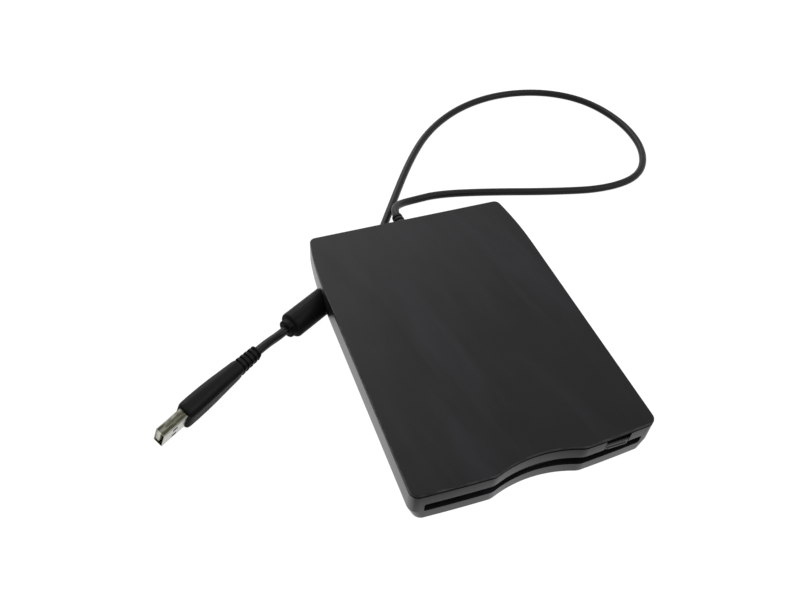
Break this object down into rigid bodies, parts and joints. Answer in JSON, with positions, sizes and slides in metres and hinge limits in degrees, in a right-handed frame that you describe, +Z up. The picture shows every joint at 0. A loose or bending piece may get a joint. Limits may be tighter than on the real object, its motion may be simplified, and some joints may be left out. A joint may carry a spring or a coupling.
{
  "type": "external floppy disk drive",
  "caption": "Slim portable floppy disk drive with a full-width slot, sprung dust door, eject button and a captive cord with a bead and a flat plug.",
  "frame": {"origin": "under the middle of the case, on the surface that its feet stand on", "axes": "+X to the right seen from the front, -Y out of the disk slot, +Z up"},
  "size_m": [0.3015, 0.2523, 0.018],
  "materials": {
    "case_black": "satin",
    "door_black": "satin",
    "button_black": "satin",
    "rubber_black": "matte",
    "cord_black": "satin",
    "bead_black": "satin",
    "grip_black": "satin",
    "shell_nickel": "bright",
    "tongue_white": "matte",
    "contact_gold": "bright",
    "screw_steel": "bright",
    "sheet_steel": "satin",
    "shaft_steel": "polished",
    "spring_steel": "bright",
    "board_green": "satin",
    "chip_black": "matte",
    "can_metal": "satin",
    "copper_wire": "bright",
    "bronze": "satin",
    "core_steel": "matte",
    "magnet_dark": "matte",
    "cast_metal": "cast",
    "inner_plastic": "matte",
    "head_ceramic": "polished",
    "socket_white": "matte",
    "cable_film": "satin",
    "wire_cover": "satin"
  },
  "bodies": {
    "case": {"top_cover": "case_black", "base_cover": "case_black", "rubber_feet": "rubber_black", "case_screws": "screw_steel", "door_spring": "spring_steel", "chassis": "sheet_steel", "top_shield": "sheet_steel", "eject_springs": "spring_steel", "frame_screws": "screw_steel", "motor_board": "board_green", "spindle_bearing": "bronze", "stator_core": "core_steel", "stator_coils": "copper_wire", "stepper_can": "can_metal", "screw_bearing": "inner_plastic", "guide_rods": "shaft_steel", "rod_clamps": "inner_plastic", "main_board": "board_green", "usb_board": "board_green", "board_chips": "chip_black", "crystal_can": "can_metal", "capacitors": "can_metal", "cable_sockets": "socket_white", "flat_cable": "cable_film", "wire_socket": "socket_white", "inner_wires": "wire_cover", "switch_housings": "chip_black", "strain_relief": "grip_black", "cord_bead": "bead_black", "plug_overmould": "grip_black", "plug_shell": "shell_nickel", "plug_tongue": "tongue_white", "plug_contacts": "contact_gold", "usb_cord_loop": "cord_black", "usb_cord_tail": "cord_black"},
    "carrier": {"disk_carrier": "sheet_steel", "guide_pins": "shaft_steel", "lever_rivet": "shaft_steel"},
    "eject_unit": {"eject_slider": "sheet_steel", "eject_button": "button_black"},
    "lever": {"shutter_lever": "sheet_steel"},
    "door": {"dust_door": "door_black"},
    "rotor": {"rotor_cup": "sheet_steel", "rotor_magnet": "magnet_dark", "spindle_shaft": "shaft_steel", "spindle_hub": "shaft_steel", "drive_pin": "shaft_steel"},
    "screw_rotor": {"lead_screw": "shaft_steel", "stepper_rotor": "magnet_dark"},
    "carriage": {"head_carriage": "cast_metal", "lower_head": "head_ceramic", "arm_pin": "shaft_steel"},
    "head_arm": {"upper_head_arm": "inner_plastic", "upper_head": "head_ceramic"},
    "write_protect_plunger": {"write_protect_pin": "inner_plastic"},
    "density_plunger": {"density_pin": "inner_plastic"},
    "disk_present_plunger": {"disk_present_pin": "inner_plastic"}
  },
  "joints": [
    {"name": "eject_slide", "type": "slide", "parent": "case", "child": "eject_unit", "axis": [0, -1, 0], "range_m": [0, 0.004], "deforming": ["eject_springs"]},
    {"name": "carrier_drop", "type": "slide", "parent": "case", "child": "carrier", "axis": [0, 0, -1], "range_m": [0, 0.0016]},
    {"name": "shutter_lever_turn", "type": "hinge", "parent": "carrier", "child": "lever", "pos_m": [-0.034, 0.018, 0.0114], "axis": [0, 0, 1], "range_deg": [0, 35], "stiffness_Nm_per_rad": 0.004},
    {"name": "dust_door_swing", "type": "hinge", "parent": "case", "child": "door", "pos_m": [0, -0.0656, 0.0116], "axis": [1, 0, 0], "range_deg": [0, 85], "stiffness_Nm_per_rad": 0.003},
    {"name": "spindle_spin", "type": "hinge", "parent": "case", "child": "rotor", "pos_m": [0, -0.015, 0.004], "axis": [0, 0, 1], "continuous": true},
    {"name": "head_seek", "type": "slide", "parent": "case", "child": "carriage", "axis": [0, -1, 0], "range_m": [0, 0.015]},
    {"name": "screw_turn", "type": "hinge", "parent": "case", "child": "screw_rotor", "pos_m": [0.018, 0.05, 0.0087], "axis": [0, 1, 0], "range_deg": [0, 1440.1]},
    {"name": "head_arm_drop", "type": "hinge", "parent": "carriage", "child": "head_arm", "pos_m": [0, 0.058, 0.0117], "axis": [1, 0, 0], "range_deg": [0, 5.7]},
    {"name": "write_protect_press", "type": "slide", "parent": "case", "child": "write_protect_plunger", "axis": [0, 0, -1], "range_m": [0, 0.001], "stiffness_N_per_m": 50},
    {"name": "density_press", "type": "slide", "parent": "case", "child": "density_plunger", "axis": [0, 0, -1], "range_m": [0, 0.001], "stiffness_N_per_m": 50},
    {"name": "disk_present_press", "type": "slide", "parent": "case", "child": "disk_present_plunger", "axis": [0, 0, -1], "range_m": [0, 0.001], "stiffness_N_per_m": 50}
  ],
  "couplings": [
    {"joint": "carrier_drop", "follows": "eject_slide", "ratio": 0.4},
    {"joint": "head_arm_drop", "follows": "eject_slide", "rad_per_m": 24.87},
    {"joint": "screw_turn", "follows": "head_seek", "rad_per_m": 1675.5}
  ]
}
